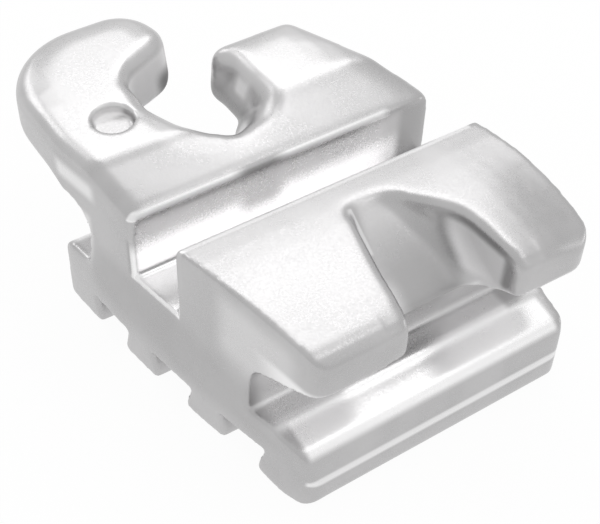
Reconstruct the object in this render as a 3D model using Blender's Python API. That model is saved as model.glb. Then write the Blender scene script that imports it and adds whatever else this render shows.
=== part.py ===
# Orthodontic bracket with a hook, moulded in one piece from stainless steel.
# +X runs along the archwire slot, +Y points to the hook, +Z away from the tooth.
# The origin is in the middle of the slot's floor.
# The shape is drawn in millimetres with heights above the ends of the bonding rails,
# and the finished solid is lowered to the origin and scaled to metres.

import math

import bmesh
import bpy
from mathutils import Matrix, Vector

MM = 0.001

# Archwire slot
SLOT_WIDTH = 0.559
SLOT_FLOOR_Z = 1.0
NEAR_EDGE_Z = 1.79
NEAR_EDGE_ROUND = 0.10
FAR_EDGE_Z = 1.69
FAR_EDGE_ROUND = 0.055
SLOT_HALF_LENGTH = 1.49
LEAD_IN_LENGTH = 0.16
LEAD_IN_DEPTH = 0.05

# Sides, as seen from above
SIDE_SKEW = math.radians(10)
FAR_SIDE_SKEW = math.radians(23.5)
FAR_CORNER_Y = 0.40
FAR_CORNER_INSET = 0.02
FAR_CORNER_ROUND = 0.12
FRONT_ROUND = 0.22
FRONT_LEFT_ROUND = 0.15
SIDE_FLARE = 0.105
FLARE_RIGHT_SHARE = 0.4
FLARE_TOP_Z = 1.05
FLARE_FRONT_RISE = 0.4
FLARE_FRONT_RUN = 0.8
FLARE_DEPTH = 0.5
FLARE_START_X = 0.4
FLARE_FADE = 0.6
SIDE_BULGE = 0.055
BULGE_START = 0.1

# Base pad
BASE_LENGTH = 3.165
BASE_CENTRE_Y = -0.272
BASE_HOLLOW = 0.06
REAR_TOP_Z = 0.69
REAR_TOP_RISE = 0.03
REAR_LEAN = 0.03
REAR_ROUND = 0.12
LEDGE_TOP_Z = 0.69
LEDGE_DEPTH = 0.42
LEDGE_STEP = 0.04
LEDGE_STEP_DROP = 0.035
LEDGE_FALL = 0.09
LEDGE_NOSE = 0.06
LEDGE_NOSE_ROUND = 0.17
LEDGE_FACE_Z = 0.27
FOOT_STEP = 0.035
FOOT_STEP_RISE = 0.03
FOOT_STEP_ROUND = 0.04
FOOT_ROUND = 0.09
EDGE_ROUND = 0.03

# Bonding rails
GROOVE_PITCH = 0.845
GROOVE_DEPTH = 0.30
GROOVE_TOP_WIDTH = 0.517
GROOVE_MOUTH_WIDTH = 0.36
RAIL_ROUND = 0.04

# Wings
WING_TOP_Z = 1.855
NEAR_EDGE_DROP = 0.035
NEAR_TIP_RISE = 0.01
NEAR_CROWN = 0.05
NEAR_CORNER_FALL = 0.13
NEAR_CORNER_REACH = 0.75
WING_UNDER_Z = 1.30
NECK_UNDER_Z = 1.18
TIP_UNDER_Z = 1.42
TIP_OVERHANG = 0.02
TIP_ROUND = 0.2
TIP_UNDER_ROUND = 0.07
TIP_UNDER_DEPTH = 0.27
NEAR_NECK_Y = -1.185
NEAR_NECK_ROUND = 0.15
NECK_FOOT_ROUND = 0.05
FAR_NECK_Y = 0.88
FAR_NECK_ROUND = 0.27
FAR_FOOT_ROUND = 0.08
FAR_UNDER_Z = 1.33
WING_OVERLAP = 0.02
RAMP_END_Y = 0.87
FAR_WING_Y = 1.73
RIM_ROUND = 0.12
RIM_CORNER_ROUND = 0.02
WING_CORNER_OUT = 0.10
BACK_FALL = 0.05
BACK_REACH = 0.34

# Hook
HOOK_END_Y = 2.642
HOOK_OUT = 0.22
HOOK_RIGHT_X = -0.205
HOOK_NECK_X = -0.84
HOOK_NECK_IN = 0.02
HOOK_NECK_Y = 1.71
HOOK_NECK_ROUND = 0.20
HOOK_TIP_Y = 1.97
HOOK_TIP_ROUND = 0.30
HOOK_ROUND = 0.80

# Notch between the far wings
NOTCH_FLOOR_Y = 0.68
NOTCH_RIGHT_X = 0.05
NOTCH_MOUTH_DEPTH = 0.28
NOTCH_MOUTH_ROUND = 0.3
NOTCH_CORNER_RISE = 0.32
NOTCH_CORNER_ROUND = 0.15
NOTCH_TIP_X = -0.30
NOTCH_TIP_ROUND = 0.07
NOTCH_BAY_RUN = 0.20
NOTCH_BAY_RISE = 0.19
NOTCH_BAY_SIDE = 0.03
NOTCH_BAY_DEPTH = 0.62
NOTCH_BAY_ROUND = 0.5
NOTCH_FLOOR_Z = 1.12
NECK_INSET = 0.10
WALL_SLOPE = 0.29
CORNER_SLOPE = 0.70
HOOK_WALL_SLOPE = 0.24

# Scoop between the near wings
SCOOP_APEX_X = -0.06
SCOOP_APEX_Y = -0.59
SCOOP_APEX_ROUND = 0.08
SCOOP_BACK_RUN = 0.33
SCOOP_BACK_FALL = 0.03
SCOOP_BACK_ROUND = 0.35
SCOOP_RIGHT_X = 0.68
SCOOP_RIGHT_DEPTH = 0.55
SCOOP_RIGHT_ROUND = 0.5
SCOOP_LEFT_X = -0.25
SCOOP_LEFT_DEPTH = 0.75
SCOOP_LEFT_ROUND = 0.8
SCOOP_SLOPE = math.radians(32.5)
SCOOP_FILLET = 0.22

# Identification dimple
DIMPLE_X = -1.16
DIMPLE_Y = 1.25
DIMPLE_RADIUS = 0.185
DIMPLE_DEPTH = 0.10

CHORD = 0.035  # longest straight piece of an arc, unless the arc is very tight
REACH = 3.5  # how far the cutters run past the solid


def clear_scene():
    for obj in list(bpy.data.objects):
        bpy.data.objects.remove(obj, do_unlink=True)


def rounded(corners):
    """A closed outline through (x, y, radius) corners, each one turned by an arc of its radius."""
    points = []
    for index, (x, y, radius) in enumerate(corners):
        corner = Vector((x, y))
        before = Vector(corners[index - 1][:2]) - corner
        after = Vector(corners[(index + 1) % len(corners)][:2]) - corner
        half = before.angle(after) / 2
        if radius <= 0 or half > math.radians(89.9):
            points.append(corner)
            continue
        run = radius / math.tan(half)
        centre = corner + (before.normalized() + after.normalized()).normalized() * (radius / math.sin(half))
        start = corner + before.normalized() * run - centre
        turn = math.pi - 2 * half
        if start.cross(corner + after.normalized() * run - centre) < 0:
            turn = -turn
        largest = min(max(CHORD / radius, math.radians(6)), math.radians(18))
        steps = max(1, math.ceil(abs(turn) / largest))
        for step in range(steps + 1):
            points.append(centre + Matrix.Rotation(turn * step / steps, 2) @ start)
    return [(point.x, point.y) for point in points]


def crowned(start, end, rise, steps):
    """Points between start and end, on a shallow arch of that rise."""
    points = []
    for step in range(1, steps):
        part = step / steps
        x = start[0] + (end[0] - start[0]) * part
        y = start[1] + (end[1] - start[1]) * part + 4 * rise * part * (1 - part)
        points.append((x, y, 0))
    return points


def plate(name, outline, low, high, rim=0.0):
    """A flat outline in X and Y filled from low to high, its rims rounded by rim."""
    curve = bpy.data.curves.new(name, "CURVE")
    curve.dimensions = "2D"
    curve.fill_mode = "BOTH"
    curve.extrude = (high - low) / 2 - rim
    curve.bevel_depth = rim
    curve.offset = -rim
    curve.bevel_resolution = 2
    spline = curve.splines.new("POLY")
    spline.points.add(len(outline) - 1)
    for point, (x, y) in zip(spline.points, outline):
        point.co = (x, y, 0, 1)
    spline.use_cyclic_u = True
    guide = bpy.data.objects.new(name + "_guide", curve)
    bpy.context.scene.collection.objects.link(guide)
    graph = bpy.context.evaluated_depsgraph_get()
    mesh = bpy.data.meshes.new_from_object(guide.evaluated_get(graph))
    bpy.data.objects.remove(guide)
    solid = bpy.data.objects.new(name, mesh)
    bpy.context.scene.collection.objects.link(solid)
    mesh.transform(Matrix.Translation((0, 0, (low + high) / 2)))
    tidy(solid)
    return solid


def bar(name, outline, left, right):
    """A side outline in Y and Z carried along X from left to right."""
    solid = plate(name, outline, left, right)
    # Turns the outline's axes to Y and Z, and its thickness to X.
    solid.data.transform(Matrix(((0, 0, 1, 0), (1, 0, 0, 0), (0, 1, 0, 0), (0, 0, 0, 1))))
    return solid


def tidy(solid):
    """Welds the solid, closes the hairline slits that a cut can leave, and turns its faces outward."""
    mesh = bmesh.new()
    mesh.from_mesh(solid.data)
    bmesh.ops.remove_doubles(mesh, verts=mesh.verts, dist=0.0002)
    bmesh.ops.holes_fill(mesh, edges=[edge for edge in mesh.edges if edge.is_boundary], sides=4)
    bmesh.ops.recalc_face_normals(mesh, faces=mesh.faces)
    mesh.to_mesh(solid.data)
    mesh.free()


def apply_modifiers(solid):
    graph = bpy.context.evaluated_depsgraph_get()
    finished = bpy.data.meshes.new_from_object(solid.evaluated_get(graph))
    solid.modifiers.clear()
    solid.data = finished


def combine(solid, other, operation):
    """Joins, cuts or trims the solid with the other one, which is used up."""
    boolean = solid.modifiers.new(operation, "BOOLEAN")
    boolean.operation = operation
    boolean.solver = "EXACT"
    boolean.object = other
    apply_modifiers(solid)
    bpy.data.objects.remove(other)
    tidy(solid)


def slice_at(solid, axis, places):
    """Adds edge loops across the solid, so that it can be bent there."""
    mesh = bmesh.new()
    mesh.from_mesh(solid.data)
    normal = Vector((0, 0, 0))
    normal[axis] = 1
    for place in places:
        geometry = mesh.verts[:] + mesh.edges[:] + mesh.faces[:]
        bmesh.ops.bisect_plane(mesh, geom=geometry, dist=0.0002, plane_co=normal * place, plane_no=normal)
    bmesh.ops.triangulate(mesh, faces=[face for face in mesh.faces if len(face.verts) > 4])
    mesh.to_mesh(solid.data)
    mesh.free()


def move_points(solid, moved):
    for vertex in solid.data.vertices:
        vertex.co = moved(vertex.co)


def left_x(y):
    """The skewed left side."""
    return -SLOT_HALF_LENGTH - y * math.tan(SIDE_SKEW)


def far_side_x(y):
    """The right side behind the slot, which runs in towards the back."""
    if y < FAR_CORNER_Y:
        slot = SLOT_WIDTH / 2
        return SLOT_HALF_LENGTH - FAR_CORNER_INSET * (y + slot) / (FAR_CORNER_Y + slot)
    return SLOT_HALF_LENGTH - FAR_CORNER_INSET - (y - FAR_CORNER_Y) * math.tan(FAR_SIDE_SKEW)


def hook_left_x():
    """The hook's outer side."""
    return -SLOT_HALF_LENGTH - HOOK_OUT


def hook_start_y():
    """Where the left side turns from its skew to the hook's side."""
    return HOOK_OUT / math.tan(SIDE_SKEW)


def smooth(value):
    value = min(max(value, 0.0), 1.0)
    return value * value * (3 - 2 * value)


def nearest_on(spot, start, end):
    """The point of a straight stretch that is nearest to the spot."""
    run = end - start
    part = (spot - start).dot(run) / run.length_squared
    return start + run * min(max(part, 0.0), 1.0)


def underside_z(y):
    """The base is slightly hollow from front to back, to sit on a tooth."""
    return BASE_HOLLOW * (1 - ((y - BASE_CENTRE_Y) / (BASE_LENGTH / 2)) ** 2)


def rail_corners():
    """The underside from back to front: level middle rails, and a dovetail groove beside each rail."""
    corners = []
    lip = GROOVE_MOUTH_WIDTH / 2
    root = GROOVE_TOP_WIDTH / 2
    middle_z = underside_z(BASE_CENTRE_Y + GROOVE_PITCH / 2)
    outer_z = underside_z(BASE_CENTRE_Y + GROOVE_PITCH)
    for step in (1, 0, -1):
        centre = BASE_CENTRE_Y + step * GROOVE_PITCH
        root_z = underside_z(centre) + GROOVE_DEPTH
        corners.append((centre + lip, outer_z if step == 1 else middle_z, RAIL_ROUND))
        corners.append((centre + root, root_z, RAIL_ROUND / 2))
        corners.append((centre - root, root_z, RAIL_ROUND / 2))
        corners.append((centre - lip, outer_z if step == -1 else middle_z, RAIL_ROUND))
    return corners


def body_outline():
    """The section through the near wing, the body and the base, in Y and Z."""
    front = BASE_CENTRE_Y - BASE_LENGTH / 2
    back = BASE_CENTRE_Y + BASE_LENGTH / 2
    slot = SLOT_WIDTH / 2
    near_edge = (-slot + NEAR_EDGE_ROUND, NEAR_EDGE_Z - NEAR_EDGE_DROP)
    tip = (front, NEAR_EDGE_Z + NEAR_TIP_RISE)
    corners = [(near_edge[0], near_edge[1], 0)]
    corners += crowned(near_edge, tip, NEAR_CROWN, 9)
    corners += [
        (front - TIP_OVERHANG, tip[1], TIP_ROUND),
        (front - TIP_OVERHANG, TIP_UNDER_Z, TIP_UNDER_ROUND),
        (front + TIP_UNDER_DEPTH, WING_UNDER_Z, NEAR_NECK_ROUND),
        (NEAR_NECK_Y, NECK_UNDER_Z, NEAR_NECK_ROUND),
        (NEAR_NECK_Y, LEDGE_TOP_Z, NECK_FOOT_ROUND),
        (front + LEDGE_DEPTH, LEDGE_TOP_Z, EDGE_ROUND),
        (front + LEDGE_DEPTH - LEDGE_STEP, LEDGE_TOP_Z - LEDGE_STEP_DROP, EDGE_ROUND),
        (front + LEDGE_NOSE, LEDGE_TOP_Z - LEDGE_FALL, LEDGE_NOSE_ROUND),
        (front + FOOT_STEP, LEDGE_FACE_Z + FOOT_STEP_RISE, FOOT_STEP_ROUND),
        (front, LEDGE_FACE_Z, EDGE_ROUND),
        (front, 0, FOOT_ROUND),
    ]
    corners += rail_corners()[::-1]
    inside_wing_z = FAR_UNDER_Z + RIM_ROUND + WING_OVERLAP
    corners += [
        (back, 0, EDGE_ROUND),
        (back - REAR_LEAN, REAR_TOP_Z, REAR_ROUND),
        (FAR_NECK_Y, REAR_TOP_Z + REAR_TOP_RISE, FAR_FOOT_ROUND),
        (FAR_NECK_Y, FAR_UNDER_Z + WING_OVERLAP / 2, FAR_NECK_ROUND),
        (FAR_NECK_Y + FAR_NECK_ROUND + 0.05, FAR_UNDER_Z + WING_OVERLAP / 2, 0),
        (FAR_NECK_Y + FAR_NECK_ROUND + 0.40, inside_wing_z, 0),
        (near_edge[0], inside_wing_z, 0),
    ]
    return rounded(corners)


def body_plan():
    """The outline of the body and the base from above."""
    front = BASE_CENTRE_Y - BASE_LENGTH / 2 - 0.01
    back = BASE_CENTRE_Y + BASE_LENGTH / 2 + 0.5
    slot = SLOT_WIDTH / 2
    return rounded([
        (left_x(front), front, FRONT_LEFT_ROUND),
        (SLOT_HALF_LENGTH, front, FRONT_ROUND),
        (SLOT_HALF_LENGTH, -slot, 0),
        (far_side_x(FAR_CORNER_Y), FAR_CORNER_Y, FAR_CORNER_ROUND),
        (far_side_x(back), back, 0.1),
        (hook_left_x(), back, 0.1),
        (hook_left_x(), hook_start_y(), HOOK_ROUND),
    ])


def flared(point):
    """The sides spread from the slot down to the pad."""
    reach = 1 - ((point.y - BASE_CENTRE_Y) / (BASE_LENGTH / 2 + 0.04)) ** 2
    top = FLARE_TOP_Z + FLARE_FRONT_RISE * smooth((-SLOT_WIDTH / 2 - point.y) / FLARE_FRONT_RUN)
    amount = SIDE_FLARE * max(reach, 0) * smooth((top - point.z) / FLARE_DEPTH)
    left = smooth((-FLARE_START_X - point.x) / FLARE_FADE)
    right = FLARE_RIGHT_SHARE * smooth((point.x - FLARE_START_X) / FLARE_FADE)
    return Vector((point.x + amount * (right - left), point.y, point.z))


def near_wing_bent(point):
    """The near wing's right side bulges, and its top falls off towards the front right corner."""
    front = BASE_CENTRE_Y - BASE_LENGTH / 2
    along = min(max((-SLOT_WIDTH / 2 - point.y) / (-SLOT_WIDTH / 2 - front), 0.0), 1.0)
    right = smooth((point.x - SLOT_HALF_LENGTH + NEAR_CORNER_REACH) / NEAR_CORNER_REACH)
    bulge_low = LEDGE_TOP_Z + BULGE_START
    above_neck = smooth((point.z - bulge_low) / (WING_UNDER_Z - bulge_low))
    above_edge = smooth((point.z - WING_UNDER_Z) / (NEAR_EDGE_Z - WING_UNDER_Z))
    bulge = SIDE_BULGE * 4 * along * (1 - along) * right * above_neck
    fall = NEAR_CORNER_FALL * along ** 2 * right ** 2 * above_edge
    return Vector((point.x + bulge, point.y, point.z - fall))


def make_body():
    body = bar("bracket_body", body_outline(), -REACH, REACH)
    combine(body, plate("plan", body_plan(), -0.5, WING_TOP_Z + 0.5), "INTERSECT")

    slice_at(body, 2, [FLARE_TOP_Z + FLARE_FRONT_RISE - 0.1 * step for step in range(10)])
    slice_at(body, 1, [BASE_CENTRE_Y + 0.4 * step for step in range(-3, 4)])
    move_points(body, flared)
    slice_at(body, 0, [SLOT_HALF_LENGTH - NEAR_CORNER_REACH * step / 6 for step in range(1, 7)])
    move_points(body, near_wing_bent)
    return body


def notch_corners():
    """The notch's outline from its right wall, round its floor, to the hook's neck."""
    return [
        (NOTCH_RIGHT_X, FAR_WING_Y - NOTCH_MOUTH_DEPTH, NOTCH_MOUTH_ROUND),
        (NOTCH_RIGHT_X, NOTCH_FLOOR_Y + NOTCH_CORNER_RISE, NOTCH_CORNER_ROUND),
        (NOTCH_TIP_X, NOTCH_FLOOR_Y, NOTCH_TIP_ROUND),
        (HOOK_NECK_X + NOTCH_BAY_RUN, NOTCH_FLOOR_Y + NOTCH_BAY_RISE, NOTCH_BAY_ROUND),
        (HOOK_NECK_X + NOTCH_BAY_SIDE, NOTCH_FLOOR_Y + NOTCH_BAY_DEPTH, NOTCH_BAY_ROUND),
    ]


def far_wing_outline():
    slot = SLOT_WIDTH / 2
    front = slot - 0.2
    return rounded([
        (left_x(front), front, 0),
        (far_side_x(front), front, 0),
        (far_side_x(FAR_CORNER_Y), FAR_CORNER_Y, FAR_CORNER_ROUND),
        (far_side_x(FAR_WING_Y), FAR_WING_Y, RIM_ROUND + 2 * RIM_CORNER_ROUND),
        (NOTCH_RIGHT_X - WING_CORNER_OUT, FAR_WING_Y, RIM_ROUND + RIM_CORNER_ROUND),
    ] + notch_corners() + [
        (HOOK_NECK_X + HOOK_NECK_IN, HOOK_NECK_Y, HOOK_NECK_ROUND),
        (HOOK_RIGHT_X, HOOK_TIP_Y, HOOK_TIP_ROUND),
        (HOOK_RIGHT_X, HOOK_END_Y, HOOK_ROUND / 2),
        (hook_left_x(), HOOK_END_Y, HOOK_ROUND),
        (hook_left_x(), hook_start_y(), HOOK_ROUND),
    ])


def back_rims(outline):
    """The stretches of the outline that face the back."""
    rims = []
    for start, end in zip(outline, outline[1:] + outline[:1]):
        if start[0] - end[0] > 0.2 * abs(end[1] - start[1]):
            rims.append((Vector(start), Vector(end)))
    return rims


def make_far_wing():
    outline = far_wing_outline()
    wing = plate("far_wing", outline, FAR_UNDER_Z, WING_TOP_Z, RIM_ROUND)
    slice_at(wing, 1, [RAMP_END_Y - 0.06 * step for step in range(10)])
    slice_at(wing, 1, [FAR_WING_Y - 0.09 * step for step in range(1, 6)])
    slice_at(wing, 1, [HOOK_END_Y - 0.09 * step for step in range(1, 6)])
    slice_at(wing, 0, [hook_left_x() + 0.15 * step for step in range(1, 21)])
    rims = back_rims(outline)
    height = WING_TOP_Z - FAR_UNDER_Z
    slope = (WING_TOP_Z - FAR_EDGE_Z) / (RAMP_END_Y - SLOT_WIDTH / 2)

    middle_z = (WING_TOP_Z + FAR_UNDER_Z) / 2
    slot_edge = SLOT_WIDTH / 2

    def leaned(point):
        """The notch's right wall and its front corner lean, and so does the hook's inner wall."""
        beside_notch = smooth((NOTCH_RIGHT_X + 0.35 - point.x) / 0.3)
        right = beside_notch * smooth((point.x - NOTCH_TIP_X) / 0.3)
        right *= smooth((point.y - NOTCH_FLOOR_Y + 0.1) / 0.2) * smooth((FAR_WING_Y - point.y) / 0.25)
        corner = beside_notch * smooth((point.x - NOTCH_TIP_X) / 0.25)
        corner *= smooth((point.y - slot_edge) / (NOTCH_FLOOR_Y - slot_edge))
        corner *= smooth((NOTCH_FLOOR_Y + 0.52 - point.y) / 0.2)
        hook = smooth((point.x - HOOK_NECK_X) / 0.25) * smooth((HOOK_RIGHT_X + 0.1 - point.x) / 0.1)
        hook *= smooth((point.y - FAR_WING_Y + 0.1) / 0.05) * smooth((HOOK_END_Y - 0.24 - point.y) / 0.3)
        above_middle = point.z - middle_z
        x = point.x + WALL_SLOPE * above_middle * right
        y = point.y + (HOOK_WALL_SLOPE * hook - CORNER_SLOPE * corner) * above_middle
        return Vector((x, y, point.z))

    def shaped(point):
        """The top ramps down to the slot and falls off to the back."""
        point = leaned(point)
        share = smooth((point.z - FAR_UNDER_Z) / height)
        part = max(RAMP_END_Y - point.y, 0)
        drop = slope * part * smooth(part / 0.12)
        spot = Vector((point.x, point.y))
        near = min((spot - nearest_on(spot, *rim)).length for rim in rims)
        drop += BACK_FALL * max(1 - near / BACK_REACH, 0) ** 2
        return Vector((point.x, point.y, point.z - drop * share))

    move_points(wing, shaped)
    return wing


def make_notch():
    """The gap behind the slot, cut on down into the neck just inside the wing's walls."""
    lean = (WING_TOP_Z - FAR_UNDER_Z) / 2
    back = FAR_WING_Y - 0.13
    right_x = NOTCH_RIGHT_X - WALL_SLOPE * lean + NECK_INSET
    _, right_corner, tip, *bay = notch_corners()
    outline = [
        (right_x, back, 0),
        (right_x, right_corner[1] + CORNER_SLOPE * lean - NECK_INSET, right_corner[2]),
        (tip[0], tip[1] - NECK_INSET, tip[2]),
    ]
    outline += [(x - NECK_INSET, y - NECK_INSET, radius) for x, y, radius in bay]
    outline.append((outline[-1][0], back, 0))
    return plate("notch", rounded(outline), NOTCH_FLOOR_Z, FAR_UNDER_Z + RIM_ROUND + 0.05)


def make_slot():
    """The slot's cutter, whose shoulders round the slot's edges."""
    slot = SLOT_WIDTH / 2
    outline = [(-slot, SLOT_FLOOR_Z), (slot, SLOT_FLOOR_Z)]
    steps = [step / 5 * math.pi / 2 for step in range(6)]
    for turn in steps:
        y = slot + FAR_EDGE_ROUND * (1 - math.cos(turn))
        outline.append((y, FAR_EDGE_Z - FAR_EDGE_ROUND * (1 - math.sin(turn))))
    outline.append((slot + FAR_EDGE_ROUND, WING_TOP_Z + 0.3))
    outline.append((-slot - NEAR_EDGE_ROUND, WING_TOP_Z + 0.3))
    for turn in steps[::-1]:
        y = -slot - NEAR_EDGE_ROUND * (1 - math.cos(turn))
        outline.append((y, NEAR_EDGE_Z - NEAR_EDGE_ROUND * (1 - math.sin(turn))))
    slot_cutter = bar("slot", outline, -REACH, REACH)
    start = SLOT_HALF_LENGTH - LEAD_IN_LENGTH
    slice_at(slot_cutter, 0, [start + LEAD_IN_LENGTH * step / 4 for step in range(6)])

    def opened(point):
        """The far wall curves away at the right end."""
        part = max(point.x - start, 0) / LEAD_IN_LENGTH
        away = LEAD_IN_DEPTH * min(part, 1.25) ** 2 if point.y > 0 else 0
        return Vector((point.x, point.y + away, point.z))

    move_points(slot_cutter, opened)
    return slot_cutter


def make_scoop():
    """The channel between the near wings, its floor falling to the front and rising into its right wall."""
    outline = rounded([
        (SCOOP_RIGHT_X + 0.1, -REACH, 0),
        (SCOOP_RIGHT_X, SCOOP_APEX_Y - SCOOP_RIGHT_DEPTH, SCOOP_RIGHT_ROUND),
        (SCOOP_APEX_X + SCOOP_BACK_RUN, SCOOP_APEX_Y - SCOOP_BACK_FALL, SCOOP_BACK_ROUND),
        (SCOOP_APEX_X, SCOOP_APEX_Y, SCOOP_APEX_ROUND),
        (SCOOP_LEFT_X, SCOOP_APEX_Y - SCOOP_LEFT_DEPTH, SCOOP_LEFT_ROUND),
        (SCOOP_LEFT_X - 0.40, -REACH, 0),
    ])
    scoop = plate("scoop", outline, 0, REACH)
    apex = outline.index(max(outline, key=lambda place: place[1]))
    edges = [(Vector(start), Vector(end)) for start, end in zip(outline[:apex], outline[1:])]
    slice_at(scoop, 0, [SCOOP_RIGHT_X - SCOOP_FILLET * step / 5 for step in range(1, 15)])
    slice_at(scoop, 1, [SCOOP_APEX_Y - 0.09 * step for step in range(1, 16)])

    def hollowed(point):
        """Only the cutter's bottom is moved, to become the floor."""
        if point.z > 1:
            return point
        spot = Vector((point.x, point.y))
        gap = min((spot - nearest_on(spot, *edge)).length for edge in edges)
        depth = (SCOOP_APEX_Y - point.y) * math.tan(SCOOP_SLOPE)
        fillet = min(SCOOP_FILLET, max(0.6 * depth, 0.001))
        inward = max(fillet - gap, 0)
        rise = fillet - math.sqrt(fillet ** 2 - inward ** 2)
        return Vector((point.x, point.y, NEAR_EDGE_Z + 0.01 - depth + rise))

    move_points(scoop, hollowed)
    return scoop


def make_dimple():
    """The dimple's cutter stands in the hook and out past its top."""
    height = DIMPLE_DEPTH + 0.2
    bpy.ops.mesh.primitive_cylinder_add(
        vertices=32, radius=DIMPLE_RADIUS, depth=height,
        location=(DIMPLE_X, DIMPLE_Y, WING_TOP_Z - DIMPLE_DEPTH + height / 2),
    )
    dimple = bpy.context.object
    dimple.data.transform(dimple.matrix_world)
    dimple.matrix_world = Matrix()
    return dimple


def steel():
    material = bpy.data.materials.new("stainless_steel")
    material.use_nodes = True
    shader = material.node_tree.nodes["Principled BSDF"]
    shader.inputs["Base Color"].default_value = (0.62, 0.61, 0.60, 1)
    shader.inputs["Metallic"].default_value = 1.0
    shader.inputs["Roughness"].default_value = 0.36
    return material


def make_bracket():
    bracket = make_body()
    combine(bracket, make_notch(), "DIFFERENCE")
    combine(bracket, make_far_wing(), "UNION")
    combine(bracket, make_slot(), "DIFFERENCE")
    combine(bracket, make_scoop(), "DIFFERENCE")
    combine(bracket, make_dimple(), "DIFFERENCE")
    bracket.data.transform(Matrix.Scale(MM, 4) @ Matrix.Translation((0, 0, -SLOT_FLOOR_Z)))
    bracket.name = "bracket_body"
    bracket.data.name = "bracket_body"
    bracket.data.materials.clear()
    bracket.data.materials.append(steel())
    bracket.data.shade_smooth()
    bracket.data.set_sharp_from_angle(angle=math.radians(35))
    parts = bpy.data.collections.new("orthodontic_bracket")
    bpy.context.scene.collection.children.link(parts)
    bpy.context.scene.collection.objects.unlink(bracket)
    parts.objects.link(bracket)


clear_scene()
make_bracket()
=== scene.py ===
import math

import bmesh
import bpy
from mathutils import Matrix, Vector


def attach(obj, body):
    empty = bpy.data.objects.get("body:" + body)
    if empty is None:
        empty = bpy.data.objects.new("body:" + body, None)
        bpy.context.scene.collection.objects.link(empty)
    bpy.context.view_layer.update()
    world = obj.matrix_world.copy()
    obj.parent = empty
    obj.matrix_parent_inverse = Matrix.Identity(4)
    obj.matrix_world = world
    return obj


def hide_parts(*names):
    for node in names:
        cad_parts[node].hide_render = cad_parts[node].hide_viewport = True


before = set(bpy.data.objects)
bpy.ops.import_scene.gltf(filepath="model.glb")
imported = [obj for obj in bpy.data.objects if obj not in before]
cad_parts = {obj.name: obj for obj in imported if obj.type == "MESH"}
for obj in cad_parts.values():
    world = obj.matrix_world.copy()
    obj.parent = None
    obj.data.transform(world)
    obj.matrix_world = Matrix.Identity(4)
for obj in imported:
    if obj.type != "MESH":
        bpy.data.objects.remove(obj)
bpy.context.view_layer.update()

MM = 0.001

# A limit that lies outside the bracket, in mm, and no limits at all along an axis
FAR = 9
ANY = (-FAR, FAR)

# Where the photograph's camera stood in mm, how it was turned in degrees, and its lens
CAMERA_PLACE = (-4.448, -6.294, 7.708)
CAMERA_TURN = (43.43, -1.46, -33.30)
CAMERA_LENS = 75.4
SENSOR_WIDTH = 36
CAMERA_CLIP_START = 0.1 * MM
CAMERA_CLIP_END = 2000 * MM

# The floor that the bracket's rails stand on, and how bright it and the room are
FLOOR_Z = -1.004 * MM
FLOOR_HALF_SIDE = 400 * MM
FLOOR_WHITE = 0.93
FLOOR_GLOW = 0.95
ROOM_GREY = 0.86

# The lamps: azimuth and elevation seen from the bracket, the angles of their sides, brightness
LAMPS = (
    ("main_box", 58, 47, 28, 24, 1.2),
    ("left_box", 98, 34, 18, 26, 1.0),
    ("ramp_box", 38, 63, 12, 10, 1.35),
    ("crest_box", -10, 65, 34, 9, 0.9),
    ("crest_left", -48, 58, 12, 14, 0.7),
    ("front_box", -62, 30, 12, 40, 0.2),
    ("low_right", -25, 6, 12, 12, 1.0),
)
LAMP_DISTANCE = 60 * MM

# An area lamp's power divided by its area is four times its brightness
POWER_OF_BRIGHTNESS = 4

# The shape in mm: the mesh's size, what is welded, and how far the surface swells back
VOXEL = 0.016
WELD_DISTANCE = 0.0005
SWELL = 0.006

# How much each step of melting moves the surface, and the steps that all edges melt
MELT_FACTOR = 0.5
MELT_STEPS = 18

# Where the edges melt further: the steps, and the limits in mm along X, Y and Z
SOFT_REGIONS = (
    ("scoop", 70, (-0.55, 0.95), (-FAR, -0.45), (-0.1, FAR)),
    ("crest of the ramp", 60, (-0.1, FAR), (0.6, 1.15), (0.6, FAR)),
    ("notch", 30, (-0.45, 0.5), (0.5, 1.8), (0.2, FAR)),
    ("slot's far edge", 30, ANY, (0.1, 0.5), (0.5, FAR)),
)

# The front rail's left corner, which melting rounds too much: all in mm
RAIL_CORNER = (-1.25, -1.60, -0.94)
RAIL_CORNER_REACH = 0.40
RAIL_CORNER_SHIFT = (-0.035, -0.005, -0.012)

# The steel's tones: as moulded, then painted light, painted shade and a deeper painted shade
STEEL = (0.505, 0.50, 0.503)
PAINTED_LIGHT_TONE = (0.90, 0.895, 0.898)
PAINTED_SHADE_TONE = (0.38, 0.376, 0.378)
DEEP_PAINTED_SHADE_TONE = (0.28, 0.277, 0.279)

# The steel's clouds and grain: their sizes, and what they do to tone, roughness and relief
CLOUD_SCALE = 2.0
CLOUD_TONE = 0.05
CLOUD_ROUGHNESS = 0.02
GRAIN_SCALE = 55
GRAIN_ROUGHNESS = (0.27, 0.35)
GRAIN_RELIEF = 0.5
GRAIN_HEIGHT = 0.0006 * MM
NOISE_DETAIL = 3
NOISE_RANGE = (0.3, 0.7)

# The painted light and the polish in the archwire slot, a lighter tone and a smoother finish, which
# fade between two heights above the slot's floor
SLOT_HALF_WIDTH = 0.2795
SLOT_FADE = (0.22, 0.46)
SLOT_UPPER_LIGHT_AND_POLISH = 0.05
SLOT_ROUGHNESS_LESS = 0.10
SLOT_GRAIN_RELIEF = 0.06

# Where that painted light and polish is, with a painted highlight along the far edge: the border's
# softness, and the limits in mm along X, Y and Z
SLOT_WALLS = (0.012, ANY, (-SLOT_HALF_WIDTH - 0.03, SLOT_HALF_WIDTH + 0.03), (-0.015, 0.75))
SLOT_LENGTH = (0.03, (-1.56, FAR), ANY, ANY)
FAR_EDGE = (0.012, ANY, (SLOT_HALF_WIDTH - 0.02, SLOT_HALF_WIDTH + 0.05), (0.62, 0.69))
FAR_EDGE_LENGTH = (0.06, (-FAR, 1.0), ANY, ANY)
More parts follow.
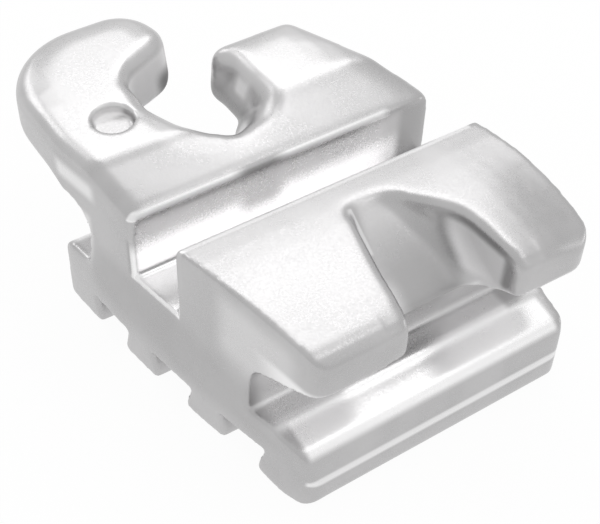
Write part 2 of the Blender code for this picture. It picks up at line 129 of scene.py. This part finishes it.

# Where it is missing from the slot, in the same form, which leaves painted shade: a dark painted
# reflection on the far wall, and the darker right end
SLOT_DARK_REFLECTION = (0.10, (-0.50, -0.10), (0, 1), (0.22, FAR))
RIGHT_END = (0.06, (1.12, FAR), (0.20, 0.40), ANY)

# Where painted light and painted shade change the tone: which tone, its share, the border's softness,
# the limits along X, Y, Z
PAINTED_LIGHT_AND_SHADE_ZONES = (
    ("plateau of the far wing", PAINTED_LIGHT_TONE, 0.20, 0.08, ANY, (0.84, FAR), (0.80, FAR)),
    ("ledge", PAINTED_LIGHT_TONE, 1.00, 0.03, (-1.14, 1.40), (-FAR, -1.46), (-0.45, -0.24)),
    ("near wing's underside", PAINTED_LIGHT_TONE, 1.00, 0.04, (-1.26, 1.46), (-1.90, -1.10), (0.12, 0.42)),
    ("neck", PAINTED_LIGHT_TONE, 0.20, 0.04, (-1.26, 1.46), (-1.50, -1.10), (-0.40, 0.12)),
    ("neck's left end", PAINTED_LIGHT_TONE, 0.50, 0.10, (-1.26, -0.50), (-1.50, -1.10), (-0.40, 0.12)),
    ("ledge beside the neck", PAINTED_LIGHT_TONE, 0.90, 0.04, (-0.60, 1.10), (-1.52, -1.24), (-0.36, -0.27)),
    ("step along the foot", PAINTED_LIGHT_TONE, 0.80, 0.015, ANY, (-FAR, -1.80), (-0.735, -0.69)),
    ("undercut at the back", PAINTED_LIGHT_TONE, 0.85, 0.05, (-1.66, 1.20), (0.84, FAR), (-0.42, 0.30)),
    ("hook's inner wall", PAINTED_LIGHT_TONE, 1.00, 0.04, (-0.90, -0.24), (1.60, 2.02), (0.25, 0.76)),
    ("top of the notch wall", PAINTED_LIGHT_TONE, 0.90, 0.05, (-0.20, 0.22), (1.12, 1.30), (0.60, 0.76)),
    ("notch wall", PAINTED_LIGHT_TONE, 0.20, 0.05, (-0.20, 0.30), (0.60, 1.75), (0.20, 0.74)),
    ("dimple's back wall", PAINTED_LIGHT_TONE, 1.00, 0.03, (-1.32, -1.00), (1.35, 1.50), (0.74, 0.84)),
    ("streak below the hook", PAINTED_LIGHT_TONE, 0.70, 0.06, (-FAR, -1.55), (0.76, 1.25), (0.52, 0.68)),
    ("near wing's left flank", PAINTED_LIGHT_TONE, 0.35, 0.12, (-FAR, -1.15), (-1.62, -0.80), (0.14, 0.70)),
    ("scoop's left wall", PAINTED_LIGHT_TONE, 0.70, 0.010, (-0.32, -0.04), (-1.50, -0.64), (0.56, 0.795)),
    ("slot's far left edge", PAINTED_SHADE_TONE, 0.90, 0.03, (-FAR, -1.44), (0.24, 0.34), (0.02, 0.40)),
    ("slot's near wall", PAINTED_LIGHT_TONE, 0.90, 0.02, (-1.42, 1.40), (-0.36, -0.26), (0.25, 0.80)),
    ("low left flare", PAINTED_SHADE_TONE, 0.45, 0.12, (-FAR, -1.25), (-FAR, 0.80), (-0.55, 0.0)),
    ("scoop's floor", PAINTED_SHADE_TONE, 1.00, 0.16, (-0.08, 0.62), (-FAR, -0.72), (-0.12, 0.60)),
    ("foot of the notch wall", DEEP_PAINTED_SHADE_TONE, 0.90, 0.08, (-0.40, 0.12), (0.94, FAR), (0.20, 0.56)),
    ("slot's right end", PAINTED_SHADE_TONE, 0.90, 0.06, (1.14, FAR), (0.20, 0.40), (0.02, 0.64)),
    ("scoop's right wall", PAINTED_LIGHT_TONE, 1.00, 0.04, (0.60, 0.80), (-1.68, -1.00), (0.36, 0.72)),
)

# How much rougher the steel is where it is matt
MATT_ROUGHNESS = 0.42

# Where it is matt: the border's softness, and the limits in mm along X, Y and Z
MATT_ZONES = (
    ("scoop's right wall", 0.05, (0.52, 0.80), (-1.72, -1.00), (0.34, 0.74)),
    ("hook's inner wall", 0.05, (-0.90, -0.24), (1.60, 2.02), (0.25, 0.78)),
    ("top of the notch wall", 0.05, (-0.20, 0.22), (1.08, 1.34), (0.58, 0.76)),
    ("dimple's back wall", 0.03, (-1.32, -1.00), (1.35, 1.50), (0.74, 0.84)),
    ("slot's far edge", 0.012, (-FAR, 1.00), (0.26, 0.33), (0.632, 0.668)),
)


# Nodes

def feed(socket, value):
    """Gives a socket another node's output, a colour or a number."""
    if isinstance(value, bpy.types.NodeSocket):
        socket.id_data.links.new(value, socket)
    elif isinstance(value, tuple):
        socket.default_value = value + (1,)
    else:
        socket.default_value = value


def math_node(tree, operation, first, second):
    """A Math node's result from two outputs or numbers."""
    made = tree.nodes.new("ShaderNodeMath")
    made.operation = operation
    feed(made.inputs[0], first)
    feed(made.inputs[1], second)
    return made.outputs[0]


class PlacedNodes:
    """Adds the nodes of a material whose finish, painted light and painted shade differ by the place
    on the piece, in mm.
    """

    def __init__(self, tree):
        self.tree = tree
        in_mm = tree.nodes.new("ShaderNodeMapping")
        in_mm.inputs["Scale"].default_value = (1 / MM, 1 / MM, 1 / MM)
        feed(in_mm.inputs["Vector"], tree.nodes.new("ShaderNodeTexCoord").outputs["Object"])
        self.place = in_mm.outputs["Vector"]
        apart = tree.nodes.new("ShaderNodeSeparateXYZ")
        feed(apart.inputs["Vector"], self.place)
        self.axes = apart.outputs

    def noise(self, scale):
        """Noise with this many waves in a millimetre."""
        made = self.tree.nodes.new("ShaderNodeTexNoise")
        made.inputs["Scale"].default_value = scale
        made.inputs["Detail"].default_value = NOISE_DETAIL
        feed(made.inputs["Vector"], self.place)
        return made.outputs["Fac"]

    def spread(self, value, start, end, low, high):
        """Goes smoothly from start to end while the value goes from low to high."""
        made = self.tree.nodes.new("ShaderNodeMapRange")
        made.interpolation_type = "SMOOTHSTEP"
        feed(made.inputs["Value"], value)
        made.inputs["From Min"].default_value = low
        made.inputs["From Max"].default_value = high
        made.inputs["To Min"].default_value = start
        made.inputs["To Max"].default_value = end
        return made.outputs["Result"]

    def product(self, *values):
        """All these values multiplied."""
        result = values[0]
        for value in values[1:]:
            result = math_node(self.tree, "MULTIPLY", result, value)
        return result

    def rest_of(self, share):
        """What this share leaves of 1."""
        return math_node(self.tree, "SUBTRACT", 1, share)

    def mixed(self, share, first, second):
        """The first colour with this share of the second one."""
        made = self.tree.nodes.new("ShaderNodeMix")
        made.data_type = "RGBA"
        feed(made.inputs["Factor"], share)
        colours = [socket for socket in made.inputs if socket.type == "RGBA"]
        feed(colours[0], first)
        feed(colours[1], second)
        return [socket for socket in made.outputs if socket.type == "RGBA"][0]

    def zone(self, soft, *limits):
        """1 inside these limits along X, Y and Z and 0 outside them, with a soft border."""
        borders = []
        for along, (low, high) in zip(self.axes, limits):
            if low > -FAR:
                borders.append(self.spread(along, 0, 1, low - soft, low + soft))
            if high < FAR:
                borders.append(self.spread(along, 1, 0, high - soft, high + soft))
        return self.product(*borders)


# Steel

def slot_painted_light_and_polish(nodes):
    """How far the slot gets painted light and polish: most low on the slot's walls, with a painted
    highlight along its far edge.
    """
    fading = nodes.spread(nodes.axes["Z"], 1, SLOT_UPPER_LIGHT_AND_POLISH, *SLOT_FADE)
    walls = nodes.product(nodes.zone(*SLOT_WALLS), nodes.zone(*SLOT_LENGTH), fading)
    edge = nodes.product(nodes.zone(*FAR_EDGE), nodes.zone(*FAR_EDGE_LENGTH))
    lit_and_polished = math_node(nodes.tree, "MAXIMUM", walls, edge)
    dark_reflection = nodes.zone(*SLOT_DARK_REFLECTION)
    end = nodes.zone(*RIGHT_END)
    return nodes.product(lit_and_polished, nodes.rest_of(dark_reflection), nodes.rest_of(end))


def steel_tone(nodes, cloud, in_slot):
    """The steel's colour: slightly cloudy, with painted light and painted shade in its zones, and
    painted light in the slot.
    """
    dark = tuple((1 - CLOUD_TONE) * value for value in STEEL)
    light = tuple((1 + CLOUD_TONE) * value for value in STEEL)
    tone = nodes.mixed(nodes.spread(cloud, 0, 1, *NOISE_RANGE), dark, light)
    for name, steel, share, soft, *limits in PAINTED_LIGHT_AND_SHADE_ZONES:
        tone = nodes.mixed(nodes.product(nodes.zone(soft, *limits), share), tone, steel)
        tone.node.label = name
    return nodes.mixed(in_slot, tone, PAINTED_LIGHT_TONE)


def steel_roughness(nodes, cloud, grain, in_slot):
    """The steel's roughness: satin, with the matt zones, and smoother in the slot."""
    rough = math_node(
        nodes.tree, "ADD",
        nodes.spread(grain, *GRAIN_ROUGHNESS, *NOISE_RANGE),
        nodes.spread(cloud, -CLOUD_ROUGHNESS, CLOUD_ROUGHNESS, *NOISE_RANGE),
    )
    for name, soft, *limits in MATT_ZONES:
        matt = nodes.product(nodes.zone(soft, *limits), MATT_ROUGHNESS)
        rough = math_node(nodes.tree, "ADD", rough, matt)
        rough.node.label = name
    return math_node(nodes.tree, "SUBTRACT", rough, nodes.product(in_slot, SLOT_ROUGHNESS_LESS))


def steel_material():
    """Satin stainless steel with a fine moulded grain, with painted light and painted shade in zones,
    smoother and with painted light inside the archwire slot.
    """
    material = bpy.data.materials.new("satin_steel")
    material.use_nodes = True
    tree = material.node_tree
    nodes = PlacedNodes(tree)
    cloud = nodes.noise(CLOUD_SCALE)
    grain = nodes.noise(GRAIN_SCALE)
    # The slot's mask: painted light in the tone, less roughness and grain
    in_slot = slot_painted_light_and_polish(nodes)
    bump = tree.nodes.new("ShaderNodeBump")
    bump.inputs["Distance"].default_value = GRAIN_HEIGHT
    feed(bump.inputs["Strength"], nodes.spread(in_slot, GRAIN_RELIEF, SLOT_GRAIN_RELIEF, 0, 1))
    feed(bump.inputs["Height"], grain)
    shader = tree.nodes["Principled BSDF"]
    shader.inputs["Metallic"].default_value = 1
    feed(shader.inputs["Base Color"], steel_tone(nodes, cloud, in_slot))
    feed(shader.inputs["Roughness"], steel_roughness(nodes, cloud, grain, in_slot))
    feed(shader.inputs["Normal"], bump.outputs["Normal"])
    return material


# The bracket's shape

def apply_all(piece):
    """Applies the piece's modifiers to its mesh, in their order."""
    bpy.context.view_layer.objects.active = piece
    for other in bpy.context.selected_objects:
        other.select_set(False)
    piece.select_set(True)
    for modifier in list(piece.modifiers):
        bpy.ops.object.modifier_apply(modifier=modifier.name)


def copy_in_mm(source, name):
    """A new piece with this object's mesh in millimetres, its double points welded."""
    mesh = source.data.copy()
    mesh.name = name
    mesh.transform(source.matrix_world)
    mesh.transform(Matrix.Scale(1 / MM, 4))
    work = bmesh.new()
    work.from_mesh(mesh)
    bmesh.ops.remove_doubles(work, verts=work.verts, dist=WELD_DISTANCE)
    work.to_mesh(mesh)
    work.free()
    piece = bpy.data.objects.new(name, mesh)
    bpy.context.scene.collection.objects.link(piece)
    return piece


def remesh_evenly(piece):
    """Gives the piece a fine even mesh."""
    even = piece.modifiers.new("even", "REMESH")
    even.mode = "VOXEL"
    even.voxel_size = VOXEL
    even.use_smooth_shade = True
    apply_all(piece)


def melt(piece, steps, group_name=""):
    """Softens the piece's edges, or only those in one group of its points."""
    smooth = piece.modifiers.new("melt", "SMOOTH")
    smooth.factor = MELT_FACTOR
    smooth.iterations = steps
    smooth.vertex_group = group_name
    apply_all(piece)


def melt_region(piece, name, steps, limits):
    """Softens the edges inside these limits along X, Y and Z."""
    group = piece.vertex_groups.new(name=name)
    for vertex in piece.data.vertices:
        if all(low < value < high for value, (low, high) in zip(vertex.co, limits)):
            group.add([vertex.index], 1, "REPLACE")
    melt(piece, steps, name)
    piece.vertex_groups.clear()


def swell(piece, distance):
    """Moves the whole surface outwards by this distance."""
    outwards = piece.modifiers.new("swell", "DISPLACE")
    outwards.mid_level = 0
    outwards.strength = distance
    apply_all(piece)


def fill_out(piece, place, reach, shift):
    """Moves the surface near a place by up to this shift, with a smooth border."""
    middle = Vector(place)
    move = Vector(shift)
    for vertex in piece.data.vertices:
        near = 1 - ((vertex.co - middle).length / reach) ** 2
        if near > 0:
            vertex.co += move * near * near


def melted(source, name):
    """The bracket as one fine even mesh whose edges are softened as moulded metal's are."""
    piece = copy_in_mm(source, name)
    remesh_evenly(piece)
    melt(piece, MELT_STEPS)
    for region, steps, *limits in SOFT_REGIONS:
        melt_region(piece, region, steps, limits)
    swell(piece, SWELL)
    fill_out(piece, RAIL_CORNER, RAIL_CORNER_REACH, RAIL_CORNER_SHIFT)
    piece.data.transform(Matrix.Scale(MM, 4))
    for polygon in piece.data.polygons:
        polygon.use_smooth = True
    return piece


# Floor

def floor_material():
    """White floor that still takes the bracket's shadow."""
    material = bpy.data.materials.new("floor_white")
    material.use_nodes = True
    tree = material.node_tree
    tree.nodes.clear()
    matt = tree.nodes.new("ShaderNodeBsdfDiffuse")
    matt.inputs["Color"].default_value = (FLOOR_WHITE, FLOOR_WHITE, FLOOR_WHITE, 1)
    glow = tree.nodes.new("ShaderNodeEmission")
    glow.inputs["Strength"].default_value = 1
    rays = tree.nodes.new("ShaderNodeLightPath")
    seen = math_node(tree, "MAXIMUM", rays.outputs["Is Camera Ray"], rays.outputs["Is Glossy Ray"])
    seen = math_node(tree, "MAXIMUM", seen, rays.outputs["Is Transmission Ray"])
    mix = tree.nodes.new("ShaderNodeMixShader")
    feed(mix.inputs["Fac"], math_node(tree, "MULTIPLY", seen, FLOOR_GLOW))
    feed(mix.inputs[1], matt.outputs["BSDF"])
    feed(mix.inputs[2], glow.outputs["Emission"])
    out = tree.nodes.new("ShaderNodeOutputMaterial")
    feed(out.inputs["Surface"], mix.outputs["Shader"])
    return material


def make_floor():
    """The white surface under the bracket, which isn't part of it."""
    mesh = bpy.data.meshes.new("floor")
    sides = ((-1, -1), (1, -1), (1, 1), (-1, 1))
    corners = [(x * FLOOR_HALF_SIDE, y * FLOOR_HALF_SIDE, FLOOR_Z) for x, y in sides]
    mesh.from_pydata(corners, [], [(0, 1, 2, 3)])
    floor = bpy.data.objects.new("floor", mesh)
    bpy.context.scene.collection.objects.link(floor)
    floor.data.materials.append(floor_material())


# Studio

def softbox(name, azimuth, elevation, width, height, brightness):
    """A rectangular lamp seen from the bracket at these angles, with these angular sides."""
    around = math.radians(azimuth)
    up = math.radians(elevation)
    outward = Vector((math.cos(around) * math.cos(up), math.sin(around) * math.cos(up), math.sin(up)))
    lamp = bpy.data.lights.new(name, "AREA")
    lamp.shape = "RECTANGLE"
    lamp.size = 2 * LAMP_DISTANCE * math.tan(math.radians(width) / 2)
    lamp.size_y = 2 * LAMP_DISTANCE * math.tan(math.radians(height) / 2)
    lamp.energy = POWER_OF_BRIGHTNESS * lamp.size * lamp.size_y * brightness
    placed = bpy.data.objects.new(name, lamp)
    placed.location = outward * LAMP_DISTANCE
    placed.rotation_mode = "QUATERNION"
    placed.rotation_quaternion = outward.to_track_quat("Z", "Y")
    placed.visible_camera = False
    bpy.context.scene.collection.objects.link(placed)


def make_lights():
    """A pale room with soft lamps in it."""
    world = bpy.data.worlds.new("room")
    world.use_nodes = True
    back = world.node_tree.nodes["Background"]
    back.inputs["Color"].default_value = (ROOM_GREY, ROOM_GREY, ROOM_GREY, 1)
    back.inputs["Strength"].default_value = 1
    bpy.context.scene.world = world
    for lamp in LAMPS:
        softbox(*lamp)


def make_camera():
    """The camera at the photograph's place."""
    data = bpy.data.cameras.new("camera")
    data.sensor_width = SENSOR_WIDTH
    data.lens = CAMERA_LENS
    data.clip_start = CAMERA_CLIP_START
    data.clip_end = CAMERA_CLIP_END
    camera = bpy.data.objects.new("camera", data)
    camera.location = Vector(CAMERA_PLACE) * MM
    camera.rotation_euler = [math.radians(angle) for angle in CAMERA_TURN]
    bpy.context.scene.collection.objects.link(camera)
    bpy.context.scene.camera = camera


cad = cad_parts["bracket_body"]
bracket = melted(cad, "bracket_steel")
bracket.data.materials.clear()
bracket.data.materials.append(steel_material())
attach(bracket, "root")
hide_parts("bracket_body")
make_floor()
make_lights()
make_camera()
bpy.context.scene.view_settings.view_transform = "Standard"
